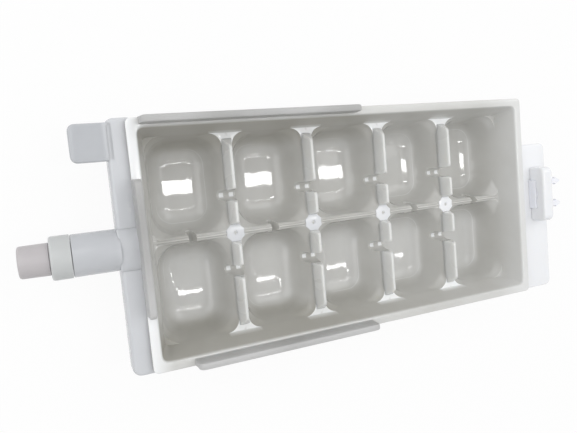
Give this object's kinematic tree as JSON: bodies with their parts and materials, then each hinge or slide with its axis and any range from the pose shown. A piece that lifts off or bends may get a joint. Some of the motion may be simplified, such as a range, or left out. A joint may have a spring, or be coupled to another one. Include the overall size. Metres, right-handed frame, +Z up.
{
  "type": "ice maker twist tray",
  "caption": "Twist-release ice tray with rows of deep cells, splash guards, a stepped front axle, a stop tab and a square rear drive hub.",
  "frame": {"origin": "on the pivot axis, at the shoulder of the front journal", "axes": "+X along the pivot axis toward the drive hub, +Z up with the cells open upward, +Y across"},
  "size_m": [0.2536, 0.0976, 0.0367],
  "materials": {
    "tray_plastic": "translucent natural polypropylene, satin with glossy cells",
    "pin_plastic": "translucent, slightly darker, satin",
    "bush_plastic": "translucent satin",
    "insert_plastic": "white translucent, satin",
    "sensor_shell": "plain off-white",
    "foam": "closed-cell foam",
    "cover_plastic": "white satin"
  },
  "bodies": {
    "tray": {"ice_tray": "tray_plastic", "axle_pin": "pin_plastic", "drive_insert": "insert_plastic", "sensor": "sensor_shell", "sensor_pad": "foam", "sensor_cover": "cover_plastic"},
    "bush": {"axle_bush": "bush_plastic"}
  },
  "joints": [
    {"name": "bush_turn", "type": "hinge", "parent": "tray", "child": "bush", "pos_m": [0.00375, 0, 0], "axis": [1, 0, 0], "continuous": true}
  ]
}
